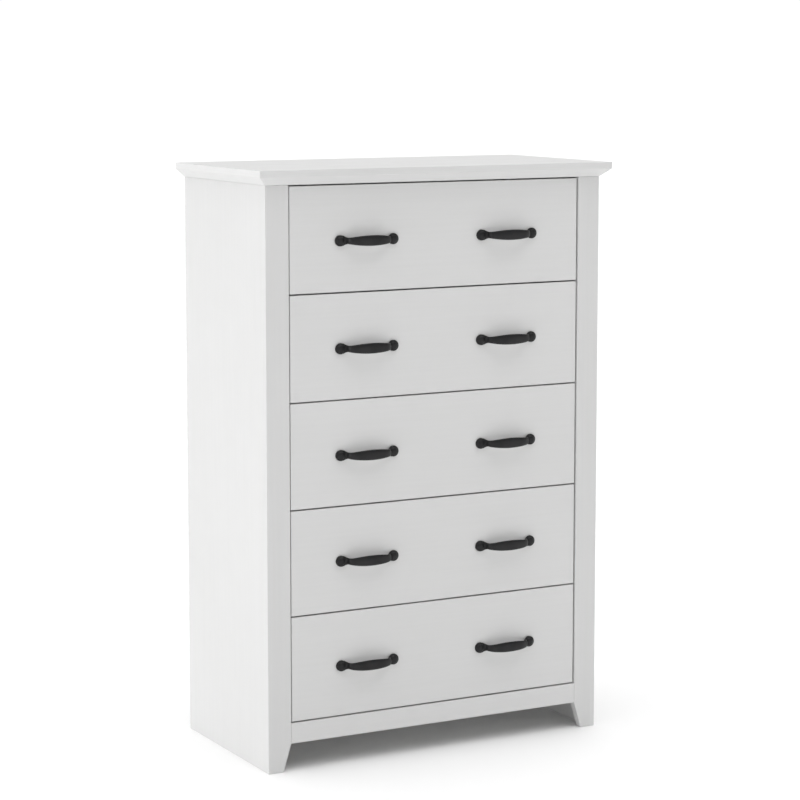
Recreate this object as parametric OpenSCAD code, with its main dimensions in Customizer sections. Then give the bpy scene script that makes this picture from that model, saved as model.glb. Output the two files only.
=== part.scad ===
// Tall chest of five drawers: painted board case, bow handles and telescopic drawer slides.
// The origin is on the floor, in the middle of the footprint with the handles counted in.
// +Z is up, +X is to the right of a person facing the chest, and the drawers open towards -Y.

/* [Case] */
// Width over the two side panels
body_w = 762; // [640:1:1000]
// Depth from the face of the stiles to the rear edge of the side panels
body_d = 386; // [330:1:520]
// Height from the floor to the top
total_h = 1193; // [900:1:1500]
// Thickness of a side panel
side_t = 15; // [12:0.5:22]
// Width of a stile, the upright board at each front corner
stile_w = 50; // [38:1:80]
// Thickness of a stile and of the apron between the stiles
stile_t = 16; // [12:0.5:25]
// Width of a stile where it meets the floor
foot_w = 33; // [20:1:38]
// Height of the gap under the apron, where a stile starts to taper
foot_h = 56; // [30:1:120]
// Height of the apron, the board below the lowest drawer
apron_h = 41; // [25:1:90]
// Thickness of the base board inside, above the feet
base_t = 12; // [9:0.5:18]
// Height of the base board's underside above the apron's lower edge
base_lift = 4; // [2:1:15]

/* [Top] */
// Overhang of the top beyond the sides and the front
overhang = 19.5; // [8:0.5:40]
// Thickness of the top board, which shows as the square band
top_t = 13; // [10:0.5:30]
// Height of the sloping crown moulding under the top board
crown_h = 17; // [8:0.5:40]
// Depth of a crown moulding, measured inwards from the face of the case
crown_w = 50; // [30:1:90]

/* [Back and rails] */
// Thickness of the back panel
back_t = 3; // [2.5:0.5:8]
// Distance from the rear edge of the side panels to the back panel
back_inset = 8; // [4:0.5:20]
// Depth of the groove for a thin panel
groove_depth = 6; // [3:0.5:8]
// Thickness of a cross rail
rail_t = 15; // [12:0.5:18]
// Depth of a cross rail, front to back
rail_w = 60; // [40:1:100]
// Room between the drawer fronts and the rails behind them
rail_room = 3; // [1:0.5:8]
// Height of the batten that carries a drawer slide
batten_h = 48; // [42:1:70]

/* [Drawers] */
// Gap above and below each drawer front
front_gap = 2.5; // [1.5:0.1:4]
// Gap at each side of a drawer front
side_gap = 2.5; // [1.5:0.1:4]
// How far the drawer fronts sit back from the face of the stiles
front_recess = 2.5; // [0:0.1:6]
// Thickness of a drawer front
front_t = 15; // [12:0.5:22]
// Thickness of the drawer sides and of the drawer back
box_t = 12; // [9:0.5:16]
// Height of the drawer sides' lower edge above the front's lower edge
box_lift = 22; // [10:1:40]
// Distance of the drawer sides' upper edge below the front's upper edge
box_drop = 38; // [25:1:70]
// Room between a closed drawer and the back panel
box_room = 12; // [6:1:40]
// Thickness of a drawer bottom
bottom_t = 3; // [2.5:0.5:6]
// Height of the drawer bottom above the sides' lower edge
bottom_lift = 10; // [8:0.5:20]
// How far a drawer back stands in from the rear ends of the drawer sides
back_setback = 5; // [0:1:20]

/* [Slides] */
// Space that a closed slide takes between a batten and a drawer side
slide_t = 12.7; // [12.4:0.1:14]
// Height of a slide's case rail
slide_h = 36; // [34:1:40]
// Thickness of the slide's steel
steel_t = 1.2; // [1:0.1:1.4]
// Height of the balls' raceway between one rail and the next
race_h = 3.2; // [2.6:0.1:3.4]
// Running clearance of a ball cage
cage_play = 0.3; // [0.3:0.05:0.5]
// Length of a ball cage
cage_l = 90; // [50:1:120]

/* [Handles] */
// Distance from the middle of the chest to the middle of a handle
handle_x = 160; // [120:1:220]
// Distance of the handles below the middle of a drawer front
handle_drop = 4; // [0:0.5:20]
// Distance between a handle's two screws
handle_cc = 118; // [96:1:128]
// Diameter of a handle's round foot
rosette_d = 22; // [18:0.5:28]
// Height of a handle's round foot
rosette_h = 8; // [6:0.5:12]
// Reach of the grip from the face of the drawer front
handle_reach = 28; // [24:0.5:40]
// Thickness of the grip
grip_t = 6; // [4:0.5:9]
// Height of the grip in its middle
grip_h = 21; // [14:0.5:24]
// Height of the grip where it runs into a round foot
neck_h = 13; // [7:0.5:15]

/* [Screws] */
// Diameter of the handle screws
handle_screw_d = 4; // [3:0.5:5]
// Depth of a handle screw's thread in the round foot
thread_depth = 5; // [3:0.5:5]
// Diameter of the wood screws
wood_screw_d = 4; // [3:0.5:4.5]
// Depth that a wood screw bites into the second board
bite = 10; // [7:0.5:11]
// Diameter of a screw's head
head_d = 8; // [6:0.5:9]
// Height of a screw's head
head_h = 2.5; // [1.5:0.1:3.5]
// Radial clearance of a screw in its hole
screw_play = 0.05; // [0.02:0.01:0.1]

/* [Hidden] */
drawer_count = 5;
DRAWERS = [1:drawer_count];
CASE_PARTS = [
    "top_board", "crown_front", "crown_sides", "crown_rear",
    "side_panel_left", "side_panel_right", "stile_left", "stile_right", "apron",
    "base_board", "back_panel", "cross_rails", "slide_battens", "case_rails", "case_screws"
];
DRAWER_PARTS = [
    "front", "sides", "back", "bottom", "handle_left", "handle_right",
    "slide_rails", "middle_rails", "screws"
];
$fn = 64;

paint = [0.92, 0.92, 0.91];
raw_board = [0.88, 0.87, 0.84];
iron = [0.14, 0.14, 0.15];
zinc = [0.72, 0.73, 0.75];

// Room that lets one shape cut cleanly through another
cut = 1;
// Play of a thin panel in its groove, on each face
panel_play = 0.2;
// Play between a thin panel's edge and the bottom of its groove
edge_play = 0.5;

// Heights
crown_z = total_h - top_t - crown_h;
apron_top = foot_h + apron_h;
base_z = foot_h + base_lift;
front_h = (crown_z - apron_top - front_gap * (drawer_count + 1)) / drawer_count;
pitch = front_h + front_gap;
box_h = front_h - box_lift - box_drop;
slide_lift = box_lift + box_h / 2;

// Widths
inner_w = body_w - 2 * side_t;
opening_w = body_w - 2 * stile_w;
front_w = opening_w - 2 * side_gap;
box_w = opening_w - 2 * slide_t;
batten_t = stile_w - side_t;

// Places along the depth: 0 is the face of the stiles and body_d the rear edge
back_y = body_d - back_inset - back_t;
front_back_y = front_recess + front_t;
box_end_y = back_y - box_room;
box_l = box_end_y - front_back_y;
box_back_y = box_end_y - back_setback - box_t;
rear_rail_y = back_y - rail_w;

// The foremost point is the edge of the top or the grip of a handle, whichever reaches further
proud = max(overhang, handle_reach - front_recess);
case_y = (proud - body_d) / 2;

// Slide rails: 0 is the face of the batten and slide_t the face of the drawer side
case_rail_w = 9.5;
case_rail_lip = 1.6;
middle_x = 2 * steel_t;
middle_w = 7.6;
middle_h = slide_h - 2 * (steel_t + race_h);
inner_x = 5;
inner_h = middle_h - 2 * (steel_t + race_h);
rail_y = front_back_y + rail_room;
rail_l = box_end_y - rail_y;
middle_short = 15;
middle_y = rail_y + middle_short;
middle_l = rail_l - middle_short;
cage_x = 3.8;
cage_w = 4;
cage_h = race_h - cage_play;
cage_margin = 12;

// Height of a drawer front's lower edge; drawer 1 is the top one
function front_z(i) = apron_top + front_gap + (drawer_count - i) * pitch;
function slide_z(i) = front_z(i) + slide_lift;
function handle_z(i) = front_z(i) + front_h / 2 - handle_drop;

module in_case() {
    translate([0, case_y, 0]) children();
}

module both_sides() {
    children();
    mirror([1, 0, 0]) children();
}

// A board from its lowest corner and its size
module board(corner, size) {
    translate(corner) cube(size);
}

// A hole or a shank along one axis, centred on x, starting at the given depth
module rod_y(x, y, z, d, l) {
    translate([x, y, z]) rotate([-90, 0, 0]) cylinder(d = d, h = l);
}

module rod_x(x, y, z, d, l) {
    translate([x, y, z]) rotate([0, 90, 0]) cylinder(d = d, h = l);
}

function hole_d(d) = d + 2 * screw_play;

// ---- Top ----

// Screws that hold the crown mouldings up against the top board: [x, y] of each. They run along
// the middle of each moulding: two in front, two at the rear and two at each side.
crown_screw_x = body_w / 2 - crown_w / 2;
crown_screw_front = crown_w / 2;
crown_screw_rear = body_d - crown_w / 2;
CROWN_SCREWS = [
    for (x = [-crown_screw_x, crown_screw_x] / 2, y = [crown_screw_front, crown_screw_rear]) [x, y],
    for (x = [-crown_screw_x, crown_screw_x], t = [0.3, 0.75])
        [x, crown_screw_front + t * (crown_screw_rear - crown_screw_front)]
];
top_bite = top_t / 2;

module crown_screw_holes() {
    for (p = CROWN_SCREWS)
        translate([p[0], p[1], crown_z - cut])
            cylinder(d = hole_d(wood_screw_d), h = crown_h + top_bite + cut);
}

module top_board() in_case() color(paint) difference() {
    board([-body_w / 2 - overhang, -overhang, crown_z + crown_h],
        [body_w + 2 * overhang, body_d + overhang, top_t]);
    crown_screw_holes();
}

// Sloping section, seen along the moulding: 0 is the face of the case
module crown_section() {
    polygon([[0, 0], [crown_w, 0], [crown_w, crown_h], [-overhang, crown_h]]);
}

module crown_front() in_case() color(paint) difference() {
    intersection() {
        translate([0, 0, crown_z]) rotate([90, 0, 90])
            linear_extrude(body_w + 2 * overhang, center = true) crown_section();
        translate([0, 0, crown_z]) linear_extrude(crown_h) polygon([
            [-body_w / 2 - overhang, -overhang], [body_w / 2 + overhang, -overhang],
            [body_w / 2 - crown_w, crown_w], [crown_w - body_w / 2, crown_w]
        ]);
    }
    crown_screw_holes();
}

module crown_sides() in_case() color(paint) difference() {
    both_sides() translate([-body_w / 2, 0, crown_z]) intersection() {
        translate([0, body_d, 0]) rotate([90, 0, 0])
            linear_extrude(body_d + overhang) crown_section();
        linear_extrude(crown_h) polygon([
            [-overhang, -overhang], [crown_w, crown_w], [crown_w, body_d], [-overhang, body_d]
        ]);
    }
    crown_screw_holes();
}

module crown_rear() in_case() color(paint) difference() {
    board([crown_w - body_w / 2, body_d - crown_w, crown_z],
        [body_w - 2 * crown_w, crown_w, crown_h]);
    crown_screw_holes();
}

// ---- Case ----

// Each batten is held to its side panel by two screws, this far in from its ends
batten_screw_inset = 40;
BATTEN_SCREW_Y = [stile_t + batten_screw_inset, back_y - batten_screw_inset];
batten_screw_l = batten_t + bite;

module batten_screw_holes() {
    for (i = DRAWERS, y = BATTEN_SCREW_Y)
        rod_x(-body_w / 2 + side_t - bite, y, slide_z(i), hole_d(wood_screw_d), batten_screw_l);
}

module side_panel() {
    difference() {
        board([-body_w / 2, stile_t, 0], [side_t, body_d - stile_t, crown_z]);
        board([-body_w / 2 + side_t - groove_depth, back_y - panel_play, base_z],
            [groove_depth + cut, back_t + 2 * panel_play, crown_z - base_z + cut]);
        batten_screw_holes();
    }
}

module side_panel_left() in_case() color(paint) side_panel();

module side_panel_right() in_case() color(paint) mirror([1, 0, 0]) side_panel();

module stile() {
    translate([-body_w / 2, stile_t, 0]) rotate([90, 0, 0]) linear_extrude(stile_t)
        polygon([[0, 0], [foot_w, 0], [stile_w, foot_h], [stile_w, crown_z], [0, crown_z]]);
}

module stile_left() in_case() color(paint) stile();

module stile_right() in_case() color(paint) mirror([1, 0, 0]) stile();

module apron() in_case() color(paint)
    board([-opening_w / 2, 0, foot_h], [opening_w, stile_t, apron_h]);

module base_board() in_case() color(raw_board)
    board([-inner_w / 2, stile_t, base_z], [inner_w, back_y - stile_t, base_t]);

module back_panel() in_case() color(raw_board) {
    panel_w = inner_w + 2 * (groove_depth - edge_play);
    board([-panel_w / 2, back_y, base_z], [panel_w, back_t, crown_z - base_z]);
}

// Four boards tie the sides together, below the second and below the third drawer
module cross_rails() in_case() color(raw_board)
    for (i = [2, 3], y = [rail_y, rear_rail_y])
        board([-inner_w / 2, y, front_z(i) - (front_gap + rail_t) / 2], [inner_w, rail_w, rail_t]);

module slide_battens() in_case() color(raw_board) both_sides() difference() {
    for (i = DRAWERS)
        board([-inner_w / 2, stile_t, slide_z(i) - batten_h / 2],
            [batten_t, back_y - stile_t, batten_h]);
    batten_screw_holes();
    for (i = DRAWERS, y = BATTEN_SCREW_Y)
        rod_x(-opening_w / 2 - head_h, y, slide_z(i), hole_d(head_d), head_h + cut);
}

// ---- Slides ----

// Section of a bent steel rail: web on the left, lips turned in at the open side
module channel(w, h, lip) {
    difference() {
        translate([0, -h / 2]) square([w, h]);
        translate([steel_t, steel_t - h / 2]) square([w - 2 * steel_t, h - 2 * steel_t]);
        translate([steel_t, steel_t + lip - h / 2]) square([w, h - 2 * (steel_t + lip)]);
    }
}

// Runs a section back along the depth, from y for l
module along(y, l) {
    translate([-opening_w / 2, y + l, 0]) rotate([90, 0, 0]) linear_extrude(l) children();
}

module case_rails() in_case() color(zinc) both_sides()
    for (i = DRAWERS) translate([0, 0, slide_z(i)])
        along(rail_y, rail_l) channel(case_rail_w, slide_h, case_rail_lip);

// The middle rails carry the ball cages: the outer ones at the rear, the inner ones in front
module drawer_middle_rails(i) in_case() color(zinc) both_sides() translate([0, 0, slide_z(i)]) {
    along(middle_y, middle_l) translate([middle_x, 0]) channel(middle_w, middle_h, 0);
    for (flip = [0, 1]) mirror([0, 0, flip]) {
        along(middle_y + middle_l - cage_margin - cage_l, cage_l)
            translate([cage_x, middle_h / 2]) square([cage_w, cage_h]);
        along(middle_y + cage_margin, cage_l)
            translate([inner_x, inner_h / 2 + cage_play]) square([cage_w, cage_h]);
    }
}

module drawer_slide_rails(i) in_case() color(zinc) both_sides() translate([0, 0, slide_z(i)])
    along(rail_y, rail_l) translate([slide_t, 0]) mirror([1, 0])
        channel(slide_t - inner_x, inner_h, 0);

// ---- Drawers ----

module drawer_front(i) in_case() color(paint) difference() {
    board([-front_w / 2, front_recess, front_z(i)], [front_w, front_t, front_h]);
    bottom_groove(i);
    for (x = [-handle_x, handle_x], s = [-1, 1])
        rod_y(x + s * handle_cc / 2, front_recess - cut, handle_z(i),
            hole_d(handle_screw_d), front_t + 2 * cut);
}

// The groove that runs round a drawer and takes its bottom
module bottom_groove(i) {
    groove_w = box_w - 2 * box_t + 2 * groove_depth;
    board([-groove_w / 2, front_back_y - groove_depth, bottom_z(i) - panel_play],
        [groove_w, box_back_y + 2 * groove_depth - front_back_y, bottom_t + 2 * panel_play]);
}

function bottom_z(i) = front_z(i) + box_lift + bottom_lift;

// Screws through the drawer sides into the drawer back, at these shares of the sides' height
function corner_screw_z(i) = [for (t = [0.3, 0.75]) front_z(i) + box_lift + t * box_h];
// Depth that a corner screw bites into the drawer back
corner_bite = 20;

module corner_screw_holes(i) {
    both_sides() for (z = corner_screw_z(i)) {
        rod_x(-box_w / 2 - cut, box_back_y + box_t / 2, z,
            hole_d(wood_screw_d), box_t + corner_bite + cut);
        rod_x(-box_w / 2 - cut, box_back_y + box_t / 2, z, hole_d(head_d), head_h + cut);
    }
}

module drawer_sides(i) in_case() color(raw_board) difference() {
    both_sides() board([-box_w / 2, front_back_y, front_z(i) + box_lift], [box_t, box_l, box_h]);
    bottom_groove(i);
    corner_screw_holes(i);
}

module drawer_back(i) in_case() color(raw_board) difference() {
    board([box_t - box_w / 2, box_back_y, front_z(i) + box_lift],
        [box_w - 2 * box_t, box_t, box_h]);
    bottom_groove(i);
    corner_screw_holes(i);
}

module drawer_bottom(i) in_case() color(raw_board) {
    w = box_w - 2 * box_t + 2 * (groove_depth - edge_play);
    board([-w / 2, front_back_y - groove_depth + edge_play, bottom_z(i)],
        [w, box_back_y + 2 * (groove_depth - edge_play) - front_back_y, bottom_t]);
}

// Machine screws from inside the drawer into the handles, and wood screws at the rear corners
module drawer_screws(i) in_case() color(zinc) {
    for (x = [-handle_x, handle_x], s = [-1, 1]) {
        rod_y(x + s * handle_cc / 2, front_recess - thread_depth, handle_z(i),
            handle_screw_d, thread_depth + front_t);
        rod_y(x + s * handle_cc / 2, front_back_y, handle_z(i), head_d, head_h);
    }
    both_sides() for (z = corner_screw_z(i)) {
        rod_x(-box_w / 2, box_back_y + box_t / 2, z, wood_screw_d, box_t + corner_bite);
        rod_x(-box_w / 2, box_back_y + box_t / 2, z, head_d, head_h);
    }
}

// ---- Handles ----

// Radius of the arc through two points at +-half and a point in the middle, rise away
function arc_r(half, rise) = (half * half + rise * rise) / (2 * rise);

// Radius of the bow's outer face along its long front, and round the bends down to the feet
bow_r = 200;
bend_r = 22;
// The bends stand this far out of the long arc, which trims them along a faint crease
bend_proud = 0.1;
// Middle of a bend. From here the bow drops straight into the inner edges of the round feet.
bend_x = (handle_cc - rosette_d + grip_t) / 2 - bend_r;
bend_y = handle_reach - bow_r + sqrt(pow(bow_r - bend_r + bend_proud, 2) - pow(bend_x, 2));
// Height of the upright edge of a round foot
rosette_edge = 3;
// Smoothness of the handle's long arcs
arc_fn = 256;

// The bow's outline seen from above, this far inside its outer face
module grip_outline(inset) {
    join_x = bend_x * (bow_r - inset) / (bow_r - bend_r);
    leg_x = bend_x + bend_r - inset;
    intersection() {
        translate([0, bow_r - handle_reach]) circle(r = bow_r - inset, $fn = arc_fn);
        union() {
            for (s = [-1, 1])
                translate([s * bend_x, -bend_y]) circle(r = bend_r - inset, $fn = arc_fn);
            translate([-join_x, -handle_reach]) square([2 * join_x, handle_reach]);
            translate([-leg_x, -bend_y]) square([2 * leg_x, handle_reach]);
        }
    }
}

// Seen from above: a bow of even thickness, cut off at the face of the drawer
module grip_plan() {
    intersection() {
        difference() {
            grip_outline(0);
            grip_outline(grip_t);
        }
        translate([-handle_cc / 2, -handle_reach - cut]) square([handle_cc, handle_reach + cut]);
    }
}

// Seen from the front: a leaf between two arcs, widest in the middle
module grip_leaf() {
    r = arc_r((handle_cc - rosette_d) / 2, (grip_h - neck_h) / 2);
    intersection() {
        translate([0, grip_h / 2 - r]) circle(r = r, $fn = arc_fn);
        translate([0, r - grip_h / 2]) circle(r = r, $fn = arc_fn);
        square([handle_cc, grip_h], center = true);
    }
}

// A round foot: a short upright edge under a shallow dome
module rosette() {
    dome_r = arc_r(rosette_d / 2, rosette_h - rosette_edge);
    rotate([90, 0, 0]) rotate_extrude() intersection() {
        translate([0, rosette_h - dome_r]) circle(r = dome_r, $fn = arc_fn);
        square([rosette_d / 2, rosette_h]);
    }
}

module handle() {
    difference() {
        union() {
            for (s = [-1, 1]) translate([s * handle_cc / 2, 0, 0]) rosette();
            intersection() {
                linear_extrude(grip_h, center = true) grip_plan();
                rotate([90, 0, 0]) linear_extrude(handle_reach) grip_leaf();
            }
        }
        for (s = [-1, 1])
            rod_y(s * handle_cc / 2, -thread_depth, 0, hole_d(handle_screw_d), thread_depth + cut);
    }
}

module drawer_handle(i, x) in_case() color(iron)
    translate([x, front_recess, handle_z(i)]) handle();

// ---- Case screws ----

module case_screws() in_case() color(zinc) {
    for (p = CROWN_SCREWS) translate([p[0], p[1], crown_z - head_h]) {
        cylinder(d = head_d, h = head_h);
        cylinder(d = wood_screw_d, h = head_h + crown_h + top_bite);
    }
    both_sides() for (i = DRAWERS, y = BATTEN_SCREW_Y) {
        rod_x(-body_w / 2 + side_t - bite, y, slide_z(i), wood_screw_d, batten_screw_l);
        rod_x(-opening_w / 2 - head_h, y, slide_z(i), head_d, head_h);
    }
}

top_board();
crown_front();
crown_sides();
crown_rear();
side_panel_left();
side_panel_right();
stile_left();
stile_right();
apron();
base_board();
back_panel();
cross_rails();
slide_battens();
case_rails();
case_screws();
for (i = DRAWERS) {
    drawer_front(i);
    drawer_sides(i);
    drawer_back(i);
    drawer_bottom(i);
    drawer_handle(i, -handle_x);
    drawer_handle(i, handle_x);
    drawer_slide_rails(i);
    drawer_middle_rails(i);
    drawer_screws(i);
}
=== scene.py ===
"""Tall white chest of five drawers with black bow handles: finishes, handles, light and camera."""
import math

import bmesh
import bpy
from mathutils import Matrix, Vector
from mathutils.geometry import interpolate_bezier


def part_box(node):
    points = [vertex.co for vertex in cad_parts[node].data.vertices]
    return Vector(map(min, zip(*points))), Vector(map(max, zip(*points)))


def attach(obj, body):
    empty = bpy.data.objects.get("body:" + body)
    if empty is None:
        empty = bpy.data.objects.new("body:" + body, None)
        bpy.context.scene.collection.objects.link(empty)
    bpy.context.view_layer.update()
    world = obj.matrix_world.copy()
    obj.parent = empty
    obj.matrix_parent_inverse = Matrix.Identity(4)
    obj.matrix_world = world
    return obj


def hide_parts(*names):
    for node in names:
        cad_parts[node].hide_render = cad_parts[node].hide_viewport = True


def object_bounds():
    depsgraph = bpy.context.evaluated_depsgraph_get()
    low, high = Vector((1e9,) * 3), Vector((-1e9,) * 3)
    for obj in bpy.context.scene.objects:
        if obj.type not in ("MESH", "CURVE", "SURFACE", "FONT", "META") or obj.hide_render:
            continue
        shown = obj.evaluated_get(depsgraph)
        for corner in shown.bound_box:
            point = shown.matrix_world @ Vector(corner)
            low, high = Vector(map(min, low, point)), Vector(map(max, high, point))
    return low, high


MM = 0.001
DRAWERS = range(1, 6)

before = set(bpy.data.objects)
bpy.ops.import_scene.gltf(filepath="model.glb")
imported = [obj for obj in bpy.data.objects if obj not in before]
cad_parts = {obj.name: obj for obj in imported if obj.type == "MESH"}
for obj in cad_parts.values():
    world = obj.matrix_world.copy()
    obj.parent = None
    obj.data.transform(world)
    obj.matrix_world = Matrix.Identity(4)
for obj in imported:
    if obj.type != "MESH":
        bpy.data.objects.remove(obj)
cad_low, cad_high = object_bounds()


# ---------------------------------------------------------------- finishes

class Finish:
    """A material and its nodes, with every pattern laid out in the piece's own coordinates."""

    def __init__(self, name, **settings):
        self.material = bpy.data.materials.new(name)
        self.material.use_nodes = True
        self.tree = self.material.node_tree
        self.shader = self.tree.nodes["Principled BSDF"]
        self.place = self.node("ShaderNodeTexCoord").outputs["Object"]
        for key, value in settings.items():
            self.shader.inputs[key.replace("_", " ")].default_value = value

    def node(self, kind, **settings):
        made = self.tree.nodes.new(kind)
        for key, value in settings.items():
            setattr(made, key, value)
        return made

    def feed(self, value, socket):
        self.tree.links.new(value, self.shader.inputs[socket])

    def stretched(self, scale):
        """The coordinates with each axis scaled, so that a pattern runs one way."""
        mapping = self.node("ShaderNodeMapping")
        mapping.inputs["Scale"].default_value = scale
        self.tree.links.new(self.place, mapping.inputs["Vector"])
        return mapping.outputs["Vector"]

    def noise(self, scale, detail=3.0, roughness=0.5, place=None):
        made = self.node("ShaderNodeTexNoise")
        made.inputs["Scale"].default_value = scale
        made.inputs["Detail"].default_value = detail
        made.inputs["Roughness"].default_value = roughness
        self.tree.links.new(place or self.place, made.inputs["Vector"])
        return made.outputs["Fac"]

    def ramp(self, value, low_color, high_color, low=0.35, high=0.65):
        """One colour where a pattern is low, another where it is high, a drift in between."""
        made = self.node("ShaderNodeValToRGB")
        for element, position, color in zip(made.color_ramp.elements, (low, high),
                                            (low_color, high_color)):
            element.position = position
            element.color = (*color, 1.0)
        self.tree.links.new(value, made.inputs["Fac"])
        return made.outputs["Color"]

    def times(self, first, second):
        mix = self.node("ShaderNodeMix", data_type="RGBA", blend_type="MULTIPLY")
        mix.inputs["Factor"].default_value = 1.0
        self.tree.links.new(first, mix.inputs["A"])
        self.tree.links.new(second, mix.inputs["B"])
        return mix.outputs["Result"]

    def between(self, value, low, high):
        """Spreads a pattern's usual range, 0.3 to 0.7, between two limits."""
        made = self.node("ShaderNodeMapRange")
        for key, number in (("From Min", 0.3), ("From Max", 0.7), ("To Min", low), ("To Max", high)):
            made.inputs[key].default_value = number
        self.tree.links.new(value, made.inputs["Value"])
        return made.outputs["Result"]

    def bump(self, value, height, over=None):
        """Relief of a height in metres, over a coarser relief where there is one."""
        made = self.node("ShaderNodeBump")
        made.inputs["Strength"].default_value = 1.0
        made.inputs["Distance"].default_value = height
        self.tree.links.new(value, made.inputs["Height"])
        if over:
            self.tree.links.new(over, made.inputs["Normal"])
        return made.outputs["Normal"]


# The darker and the lighter shade of each finish
PAINT_SHADES = ((0.704, 0.704, 0.701), (0.716, 0.716, 0.714))
BOARD_SHADES = ((0.668, 0.666, 0.656), (0.680, 0.678, 0.669))
IRON_SHADES = ((0.008, 0.008, 0.0085), (0.013, 0.013, 0.0135))
ZINC_SHADES = ((0.54, 0.55, 0.565), (0.63, 0.64, 0.65))
FLOOR_SHADES = ((0.96, 0.96, 0.96), (0.97, 0.97, 0.97))
# What the lines of the grain and the specks of the board tint the shade with
GRAIN_TINT = (0.988, 0.988, 0.987)
SPECK_TINT = (0.955, 0.950, 0.940)
NO_TINT = (1.0, 1.0, 1.0)


def white_paint(name, grain_scale, painted_shade=1.0):
    """Sprayed satin paint: slow drift in shade, a trace of grain below, orange peel on top, and,
    where asked, a painted shade that darkens it all over.
    """
    f = Finish(name, Metallic=0.0, IOR=1.45, Coat_Weight=0.05, Coat_Roughness=0.35)
    # The paint's shades darkened by the given share: painted shade, set lower for the upright boards
    shades_with_painted_shade = [[level * painted_shade for level in shade] for shade in PAINT_SHADES]
    shade = f.ramp(f.noise(2.5, detail=2.0), *shades_with_painted_shade)
    grain = f.noise(1.0, detail=5.0, roughness=0.6, place=f.stretched(grain_scale))
    tint = f.ramp(grain, GRAIN_TINT, NO_TINT, low=0.4, high=0.6)
    f.feed(f.times(shade, tint), "Base Color")
    f.feed(f.between(f.noise(22.0, detail=4.0), 0.42, 0.56), "Roughness")
    relief = f.bump(grain, 0.012 * MM)
    f.feed(f.bump(f.noise(700.0, detail=2.0), 0.004 * MM, over=relief), "Normal")
    return f.material


def white_board():
    """Matt faced board inside the case and the drawers, with a fine speckle."""
    f = Finish("white_board", Metallic=0.0, IOR=1.45)
    shade = f.ramp(f.noise(9.0), *BOARD_SHADES)
    speck = f.noise(420.0, detail=3.0, roughness=0.7)
    f.feed(f.times(shade, f.ramp(speck, SPECK_TINT, NO_TINT, low=0.3, high=0.42)), "Base Color")
    f.feed(f.between(f.noise(14.0), 0.55, 0.68), "Roughness")
    f.feed(f.bump(f.noise(1200.0, detail=2.0), 0.005 * MM), "Normal")
    return f.material


def black_iron():
    """Cast iron under a matt black coat, rubbed a little smoother here and there."""
    f = Finish("black_iron", Metallic=0.0, IOR=1.5, Specular_IOR_Level=0.30)
    rub = f.noise(45.0)
    f.feed(f.ramp(rub, *IRON_SHADES), "Base Color")
    f.feed(f.between(rub, 0.50, 0.34), "Roughness")
    relief = f.bump(f.noise(300.0, detail=4.0, roughness=0.6), 0.12 * MM)
    f.feed(f.bump(f.noise(1500.0, detail=2.0), 0.02 * MM, over=relief), "Normal")
    return f.material


def zinc_steel():
    """Rolled steel, zinc plated: draw lines along the rails and a cloudy sheen."""
    f = Finish("zinc_steel", Metallic=1.0)
    cloud = f.noise(60.0)
    f.feed(f.ramp(cloud, *ZINC_SHADES), "Base Color")
    f.feed(f.between(cloud, 0.26, 0.42), "Roughness")
    lines = f.noise(1.0, detail=3.0, roughness=0.6, place=f.stretched((900.0, 12.0, 900.0)))
    f.feed(f.bump(lines, 0.01 * MM), "Normal")
    return f.material


# How fast the grain varies along a board and across it, and the painted shade that darkens upright
# boards for the light on them
ALONG, ACROSS = 3.0, 140.0
UPRIGHT_PAINTED_SHADE = 0.975

PAINT_ALONG = white_paint("white_paint_along", (ALONG, ACROSS, ACROSS))
PAINT_UPRIGHT_SHADED = white_paint("white_paint_upright_shaded", (ACROSS, ACROSS, ALONG), UPRIGHT_PAINTED_SHADE)
PAINT_DEEP = white_paint("white_paint_deep", (ACROSS, ALONG, ACROSS))
BOARD = white_board()
IRON = black_iron()
ZINC = zinc_steel()


# ---------------------------------------------------------------- shared work

# Points closer together than this are one point
WELD = 0.002 * MM


def new_piece(name, mesh, material):
    """A shown object at the origin, its place in its mesh."""
    mesh.name = name
    mesh.materials.clear()
    mesh.materials.append(material)
    piece = bpy.data.objects.new(name, mesh)
    bpy.context.scene.collection.objects.link(piece)
    return piece


def to_mesh(bm, name):
    """Turns a bmesh into a mesh."""
    mesh = bpy.data.meshes.new(name)
    bm.to_mesh(mesh)
    bm.free()
    return mesh


def closed_mesh(bm, name):
    """Closes a bmesh into a mesh whose faces point outwards."""
    bmesh.ops.remove_doubles(bm, verts=bm.verts, dist=WELD)
    bmesh.ops.recalc_face_normals(bm, faces=bm.faces)
    return to_mesh(bm, name)


def smooth_to(mesh, degrees):
    """Smooth shading, with a crisp line where two faces meet at more than the angle."""
    mesh.shade_smooth()
    mesh.set_sharp_from_angle(angle=math.radians(degrees))


def combined(base, tools, operation):
    """The base mesh with each tool mesh joined to it or cut from it."""
    piece = bpy.data.objects.new("work", base)
    bpy.context.scene.collection.objects.link(piece)
    helpers = []
    for tool in tools:
        helper = bpy.data.objects.new("tool", tool)
        bpy.context.scene.collection.objects.link(helper)
        helpers.append(helper)
        step = piece.modifiers.new("step", "BOOLEAN")
        step.operation = operation
        step.solver = "EXACT"
        step.object = helper
    shaped = piece.evaluated_get(bpy.context.evaluated_depsgraph_get())
    bm = bmesh.new()
    bm.from_mesh(bpy.data.meshes.new_from_object(shaped))
    for helper in helpers + [piece]:
        bpy.data.objects.remove(helper)
    return closed_mesh(bm, "combined")


def bend(knots, steps):
    """Points along a smooth bend from its start, past two guides, to its end."""
    return [tuple(point) for point in interpolate_bezier(*map(Vector, knots), steps + 1)]


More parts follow.
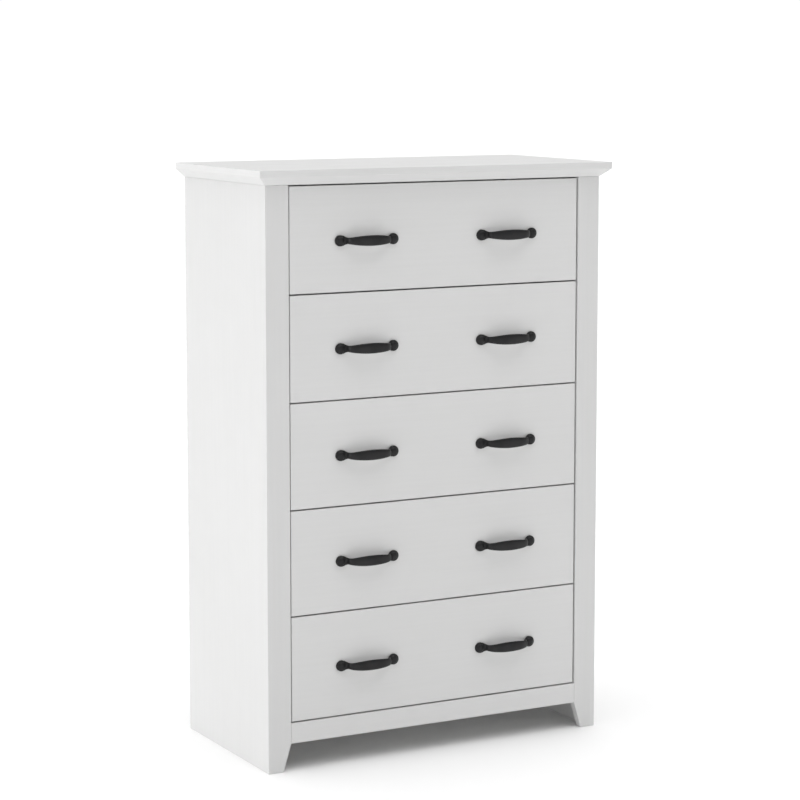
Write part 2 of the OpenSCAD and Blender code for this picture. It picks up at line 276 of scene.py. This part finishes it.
def turned(outline, along, out, turns, foot=(0, 0, 0)):
    """A closed mesh turned from an outline of radius and height in millimetres. Its axis runs
    along one direction from its foot, and the outline is drawn out from there in another."""
    bm = bmesh.new()
    foot, along, out = Vector(foot), Vector(along), Vector(out)
    points = [bm.verts.new(foot + (out * radius + along * height) * MM)
              for radius, height in outline]
    edges = [bm.edges.new(pair) for pair in zip(points, points[1:])]
    bmesh.ops.spin(bm, geom=points + edges, cent=foot, axis=along, angle=2 * math.pi,
                   steps=turns, use_merge=True)
    return closed_mesh(bm, "turned")


# ---------------------------------------------------------------- boards

FACES = ("-x", "+x", "-y", "+y", "-z", "+z")
# How near a point lies to the faces that it is on
ON_FACE = 0.01 * MM
# Facets that meet at less than this are parts of one flat face
FLAT_ANGLE = math.radians(0.5)
# Only edges sharper than this angle are eased, and only those as long as a board is thick:
# the rims of screw holes and the ends of grooves stay crisp
SHARP_ANGLE = math.radians(12)
SHORT_EDGE = 11 * MM

# How far the edges are eased on the top, upright boards, front boards and drawer boxes
TOP_EASE, UPRIGHT_EASE, FRONT_EASE, BOX_EASE = 1.2 * MM, 0.8 * MM, 0.6 * MM, 0.7 * MM
# Play at each end of the apron, and at the ends and long edges of a drawer front
APRON_PLAY = (0.3 * MM, 0, 0)
FRONT_PLAY = (0.4 * MM, 0, 0.25 * MM)

# Height and depth of the fine joint under the crown, and how far its cut runs past the wood
SEAM, SEAM_DEPTH = 0.4 * MM, 3 * MM
PAST = 30 * MM


def dress(node, material):
    """Gives a CAD node its material."""
    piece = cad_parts[node]
    piece.data.materials.clear()
    piece.data.materials.append(material)


def touches(point, low, high, face):
    """Whether a point lies on one face of a box, named by its side and axis, as in '-z'."""
    axis = "xyz".index(face[1])
    plane = high[axis] if face[0] == "+" else low[axis]
    return abs(point[axis] - plane) < ON_FACE


def flat_copy(node):
    """A bmesh of a CAD node with its triangles joined into plain flat faces."""
    bm = bmesh.new()
    bm.from_mesh(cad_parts[node].data)
    bmesh.ops.remove_doubles(bm, verts=bm.verts, dist=WELD)
    bmesh.ops.dissolve_limit(bm, angle_limit=FLAT_ANGLE, verts=bm.verts, edges=bm.edges)
    return bm


def take_place(node, body, suffix, mesh, material):
    """Shows a mesh in place of a CAD node, with its broad faces shaded flat."""
    smooth_to(mesh, degrees=40)
    piece = new_piece(f"{node}_{suffix}", mesh, material)
    level = piece.modifiers.new("flat_faces", "WEIGHTED_NORMAL")
    level.keep_sharp = True
    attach(piece, body)
    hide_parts(node)


def eased_board(node, body, material, ease, seated=(), outer_only=True, play=(0, 0, 0)):
    """A board with its long edges rounded, but not those on a face that seats on the next
    board. The play is a hair's gap left at its ends, along each axis."""
    low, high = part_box(node)
    bm = flat_copy(node)
    chosen = []
    for edge in bm.edges:
        if not edge.is_manifold or not edge.is_convex or edge.calc_length() < SHORT_EDGE:
            continue
        middle = (edge.verts[0].co + edge.verts[1].co) / 2
        faces = [face for face in FACES if touches(middle, low, high, face)]
        sharp = edge.calc_face_angle() > SHARP_ANGLE
        if sharp and not set(faces) & set(seated) and (len(faces) > 1 or not outer_only):
            chosen.append(edge)
    bmesh.ops.bevel(bm, geom=chosen, offset=ease, offset_type="OFFSET", affect="EDGES",
                    segments=3, profile=0.5, material=-1, clamp_overlap=False)
    # The whole of a rounded edge moves in with its end
    reach = 1.1 * ease
    for axis, gap in enumerate(play):
        for end, inwards in ((low[axis], gap), (high[axis], -gap)):
            shift = Vector()
            shift[axis] = inwards
            tip = [v for v in bm.verts if abs(v.co[axis] - end) < reach]
            bmesh.ops.translate(bm, verts=tip, vec=shift)
    take_place(node, body, "eased", to_mesh(bm, node), material)


def block(low, high):
    """A plain box between two corners, for cutting with."""
    bm = bmesh.new()
    verts = bmesh.ops.create_cube(bm, size=1.0)["verts"]
    bmesh.ops.scale(bm, verts=verts, vec=[b - a for a, b in zip(low, high)])
    bmesh.ops.translate(bm, verts=verts, vec=[(a + b) / 2 for a, b in zip(low, high)])
    return closed_mesh(bm, "block")


def make_crown():
    """The front and side mouldings, with a fine joint between their feet and the case."""
    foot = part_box("crown_front")[0].z
    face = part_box("stile_left")[0].y + SEAM_DEPTH
    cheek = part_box("side_panel_right")[1].x - SEAM_DEPTH
    far_x, near_y, far_y = cad_high.x + PAST, cad_low.y - PAST, cad_high.y + PAST
    under, over = foot - SEAM, foot + SEAM
    ahead = [block((-far_x, near_y, under), (far_x, face, over))]
    beside = [block((-far_x, near_y, under), (-cheek, far_y, over)),
              block((cheek, near_y, under), (far_x, far_y, over))]
    for node, cuts, material in (("crown_front", ahead, PAINT_ALONG),
                                 ("crown_sides", beside, PAINT_DEEP)):
        mesh = combined(closed_mesh(flat_copy(node), node), cuts, "DIFFERENCE")
        take_place(node, "case", "jointed", mesh, material)


def make_case():
    """The case's boards, rails and screws, each board eased where it shows."""
    eased_board("top_board", "case", PAINT_ALONG, TOP_EASE, seated=("-z",))
    for side in ("left", "right"):
        eased_board(f"side_panel_{side}", "case", PAINT_UPRIGHT_SHADED, UPRIGHT_EASE,
                    seated=("-y", "+z"))
        eased_board(f"stile_{side}", "case", PAINT_UPRIGHT_SHADED, UPRIGHT_EASE,
                    seated=("+y", "+z"), outer_only=False)
    eased_board("apron", "case", PAINT_ALONG, FRONT_EASE, seated=("+y",),
                play=APRON_PLAY)
    make_crown()
    dress("crown_rear", PAINT_ALONG)
    for node in ("base_board", "back_panel", "cross_rails", "slide_battens"):
        dress(node, BOARD)
    for node in ("case_rails", "case_screws"):
        dress(node, ZINC)


def make_drawers():
    """Each drawer's front and box, and its rails and screws."""
    for number in DRAWERS:
        drawer = f"drawer_{number}"
        eased_board(f"{drawer}_front", drawer, PAINT_ALONG, FRONT_EASE,
                    play=FRONT_PLAY)
        for part in ("sides", "back"):
            eased_board(f"{drawer}_{part}", drawer, BOARD, BOX_EASE)
        dress(f"{drawer}_bottom", BOARD)
        for part in ("slide_rails", "middle_rails", "screws"):
            dress(f"{drawer}_{part}", ZINC)


# ---------------------------------------------------------------- handles
# A handle is modelled around its own middle, on the face of a drawer front: +X along the
# bow, -Y away from the drawer. Outlines and bends are in millimetres.

# Outline of a round foot, radius and height: the screw hole and the flat base, the rounded
# rim, the shallow groove inside it, and the raised button
RIM = ((11.0, 3.3), (11.0, 4.1), (10.2, 4.6), (9.7, 4.6))
BUTTON = ((8.2, 4.7), (7.4, 6.2), (5.5, 8.0), (0.0, 8.0))
FOOT_OUTLINE = [(0.0, 5.0), (2.05, 5.0), (2.05, 0.0), (11.0, 0.0), *bend(RIM, 3),
                (8.9, 4.62), (8.45, 4.5), *bend(BUTTON, 7)]
FOOT_RADIUS = RIM[0][0] * MM
FOOT_TURNS = 56
# One half of the bow's middle line, along the bow and off the drawer: the crown of the bow
# down to its neck, and the neck down to the foot
BOW_BENDS = (
    ((0.0, 24.6), (33.0, 24.6), (44.6, 21.0), (45.6, 11.6)),
    ((45.6, 11.6), (46.2, 6.4), (49.0, 3.2), (54.0, 3.1)),
)
BOW_STEPS = (18, 9)
BOW_SIDES = 32
# How full the bow's section is behind, as a share of its front
BOW_REAR = 0.6
# Height and thickness of the bow's section, at its middle and at its necks
NECK_X = 46 * MM
BOW_TALL, NECK_TALL = 21.0 * MM, 12.8 * MM
BOW_THICK, NECK_THICK = 6.0 * MM, 5.0 * MM
# How fast the neck grows taller towards the round foot
FLARE = 1.05


def bow_line():
    """Points along the bow's middle line, from the left foot to the right one."""
    half = []
    for knots, steps in zip(BOW_BENDS, BOW_STEPS):
        half += [Vector((x, -off, 0.0)) * MM for x, off in bend(knots, steps)[1:]]
    left = [Vector((-point.x, point.y, 0.0)) for point in reversed(half)]
    middle = Vector((0.0, -BOW_BENDS[0][0][1] * MM, 0.0))
    return left + [middle] + half


def bow_place(before, point, after):
    """Turns the unit section into the bow's section at a point of its middle line."""
    way = after - before
    share = min(abs(point.x) / NECK_X, 1.0) ** 2
    past_neck = max(abs(point.x) - NECK_X, 0.0)
    tall = BOW_TALL + (NECK_TALL - BOW_TALL) * share + past_neck * FLARE
    thick = BOW_THICK + (NECK_THICK - BOW_THICK) * share
    return (Matrix.Translation(point) @ Matrix.Rotation(math.atan2(way.y, way.x), 4, "Z")
            @ Matrix.Diagonal((1.0, thick / 2, tall / 2, 1.0)))


def bow():
    """The bow: one section carried along its middle line, rounded in front, flatter behind."""
    bm = bmesh.new()
    ring = bmesh.ops.create_circle(bm, cap_ends=True, segments=BOW_SIDES, radius=1.0)["verts"]
    bmesh.ops.rotate(bm, verts=ring, cent=(0, 0, 0), matrix=Matrix.Rotation(math.pi / 2, 3, "Y"))
    rear = [v for v in ring if v.co.y > 0]
    bmesh.ops.scale(bm, verts=rear, vec=(1.0, BOW_REAR, 1.0))
    cap = ring[0].link_faces[0]
    line = bow_line()
    places = [bow_place(*three) for three in zip([line[0]] + line, line, line[1:] + [line[-1]])]
    bmesh.ops.transform(bm, matrix=places[0], verts=ring)
    for step, (last, place) in enumerate(zip(places, places[1:])):
        grown = bmesh.ops.extrude_face_region(bm, geom=[cap])["geom"]
        if step:
            bmesh.ops.delete(bm, geom=[cap], context="FACES_ONLY")
        verts = [item for item in grown if isinstance(item, bmesh.types.BMVert)]
        cap = [item for item in grown if isinstance(item, bmesh.types.BMFace)][0]
        bmesh.ops.transform(bm, matrix=place @ last.inverted(), verts=verts)
    return closed_mesh(bm, "bow")


def make_handles():
    """Two cast handles on each drawer, each standing where its CAD node is."""
    low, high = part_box("drawer_1_handle_left")
    foot_x = (high.x - low.x) / 2 - FOOT_RADIUS
    feet = [turned(FOOT_OUTLINE, (0, -1, 0), (1, 0, 0), FOOT_TURNS, foot=(x, 0, 0))
            for x in (-foot_x, foot_x)]
    casting = combined(bow(), feet, "UNION")
    smooth_to(casting, degrees=38)
    for number in DRAWERS:
        for side in ("left", "right"):
            node = f"drawer_{number}_handle_{side}"
            low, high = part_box(node)
            mesh = casting.copy()
            mesh.transform(Matrix.Translation(((low.x + high.x) / 2, high.y, (low.z + high.z) / 2)))
            piece = new_piece(f"{node}_casting", mesh, IRON)
            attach(piece, f"drawer_{number}")
            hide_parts(node)


# ---------------------------------------------------------------- slide screws

# Outline of a pan head over the rail, radius and height in millimetres: a flat base and a dome
DOME = ((3.3, 0.3), (3.3, 1.1), (2.7, 1.8), (0.0, 1.8))
HEAD_OUTLINE = [(0.0, 0.0), (3.2, 0.0), *bend(DOME, 4)]
SCREW_TURNS = 24
# One slot of the cross recess: its depth, length and width, how it narrows to its floor, and
# the height of its middle over the rail
SLOT_SIZE = (1.6 * MM, 3.4 * MM, 0.6 * MM)
SLOT_TAPER = (1.0, 0.35, 0.7)
SLOT_HEIGHT = 1.5 * MM
# Where the screws sit along a rail, as shares of its length from the front
SCREW_SHARES = (0.09, 0.46, 0.9)
# Thickness of the rail's steel, which the heads sit on
RAIL_STEEL = 1.2 * MM


def pan_head():
    """A pan head with a cross recess, its dome along +X."""
    head = turned(HEAD_OUTLINE, (1, 0, 0), (0, 1, 0), SCREW_TURNS)
    slots = []
    for angle in (0, math.pi / 2):
        bm = bmesh.new()
        slot = bmesh.ops.create_cube(bm, size=1.0)["verts"]
        bmesh.ops.scale(bm, verts=slot, vec=SLOT_SIZE)
        floor = [v for v in slot if v.co.x < 0]
        bmesh.ops.scale(bm, verts=floor, vec=SLOT_TAPER)
        bmesh.ops.translate(bm, verts=slot, vec=(SLOT_HEIGHT, 0, 0))
        bmesh.ops.rotate(bm, verts=slot, cent=(0, 0, 0), matrix=Matrix.Rotation(angle, 3, "X"))
        slots.append(closed_mesh(bm, "slot"))
    return combined(head, slots, "DIFFERENCE")


def make_slide_screws():
    """Three screws through each drawer rail into the drawer side, no two turned alike."""
    head = pan_head()
    for number in DRAWERS:
        low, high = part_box(f"drawer_{number}_slide_rails")
        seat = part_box(f"drawer_{number}_sides")[1].x + RAIL_STEEL
        height = (low.z + high.z) / 2
        bm = bmesh.new()
        for hand, facing in ((-1, math.pi), (1, 0)):
            for count, share in enumerate(SCREW_SHARES):
                at = (hand * seat, low.y + share * (high.y - low.y), height)
                screw = head.copy()
                screw.transform(Matrix.Translation(at) @ Matrix.Rotation(facing, 4, "Z")
                                @ Matrix.Rotation(number + 0.5 * count, 4, "X"))
                bm.from_mesh(screw)
        mesh = to_mesh(bm, "slide_screws")
        smooth_to(mesh, degrees=35)
        piece = new_piece(f"drawer_{number}_slide_screws", mesh, ZINC)
        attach(piece, f"drawer_{number}")


# ---------------------------------------------------------------- floor, light, camera

# Half the floor's width, and how far it lies under the feet, in metres
FLOOR_HALF, FLOOR_DROP = 60.0, 0.1 * MM
# Brightness of the room by the height that it is seen at, 0 at the horizon and 1 overhead:
# bright low walls, a darker band above them and a bright ceiling, all under one limit
ROOM = ((0.10, 1.02), (0.22, 0.20), (0.60, 0.20), (0.82, 2.08))
BRIGHTEST = 4.0
# The window's light: its strength, how wide the window looks in degrees, and where it shines
WINDOW_STRENGTH, WINDOW_WIDTH = 0.93, 16
WINDOW_TOWARDS = (1.0, -0.07, -0.14)
# The camera's place in metres, its turn to the right and tilt down in degrees, its lens and
# sensor in millimetres, the shift of its picture as a share of the sensor, and how many
# metres it sees
CAMERA_PLACE = (-2.429, -4.515, 1.427)
CAMERA_TURN, CAMERA_TILT = 28.39, 6.97
LENS, SENSOR, SHIFT = 112.12, 36, -0.06
SIGHT = 200


def make_floor():
    bm = bmesh.new()
    bmesh.ops.create_grid(bm, x_segments=1, y_segments=1, size=FLOOR_HALF)
    bmesh.ops.translate(bm, verts=bm.verts, vec=(0, 0, -FLOOR_DROP))
    f = Finish("pale_floor", Metallic=0.0, IOR=1.3, Specular_IOR_Level=0.1)
    f.feed(f.ramp(f.noise(1.2), *FLOOR_SHADES, low=0.3, high=0.7), "Base Color")
    f.feed(f.between(f.noise(8.0), 0.8, 0.9), "Roughness")
    new_piece("floor", to_mesh(bm, "floor"), f.material)


def make_room():
    """A white room that lights the chest from all round, as bright as ROOM says."""
    world = bpy.data.worlds.new("white_room")
    bpy.context.scene.world = world
    world.use_nodes = True
    tree = world.node_tree
    back = tree.nodes["Background"]
    direction = tree.nodes.new("ShaderNodeTexCoord").outputs["Generated"]
    parts = tree.nodes.new("ShaderNodeSeparateXYZ")
    tree.links.new(direction, parts.inputs["Vector"])
    height = tree.nodes.new("ShaderNodeFloatCurve")
    curve = height.mapping.curves[0]
    height.mapping.clip_max_y = BRIGHTEST
    for place, level in ROOM:
        curve.points.new(place, level)
    for point in curve.points:
        point.handle_type = "VECTOR"
    curve.points[0].location.y = ROOM[0][1]
    curve.points[-1].location.y = ROOM[-1][1]
    height.mapping.update()
    tree.links.new(parts.outputs["Z"], height.inputs["Value"])
    tree.links.new(height.outputs["Value"], back.inputs["Color"])
    back.inputs["Strength"].default_value = 1.0


def make_window():
    """The light of one broad low window on the left."""
    lamp = bpy.data.lights.new("window_light", "SUN")
    lamp.energy = WINDOW_STRENGTH
    lamp.angle = math.radians(WINDOW_WIDTH)
    light = bpy.data.objects.new("window_light", lamp)
    bpy.context.scene.collection.objects.link(light)
    light.rotation_euler = Vector(WINDOW_TOWARDS).to_track_quat("-Z", "Y").to_euler()


def make_camera():
    lens = bpy.data.cameras.new("camera")
    lens.lens = LENS
    lens.sensor_width = SENSOR
    lens.shift_y = SHIFT
    lens.clip_end = SIGHT
    camera = bpy.data.objects.new("camera", lens)
    camera.location = CAMERA_PLACE
    camera.rotation_euler = (math.radians(90 - CAMERA_TILT), 0, math.radians(-CAMERA_TURN))
    bpy.context.scene.collection.objects.link(camera)
    bpy.context.scene.camera = camera


make_camera()
make_case()
make_drawers()
make_handles()
make_slide_screws()
make_floor()
make_room()
make_window()
bpy.context.scene.view_settings.view_transform = "Standard"
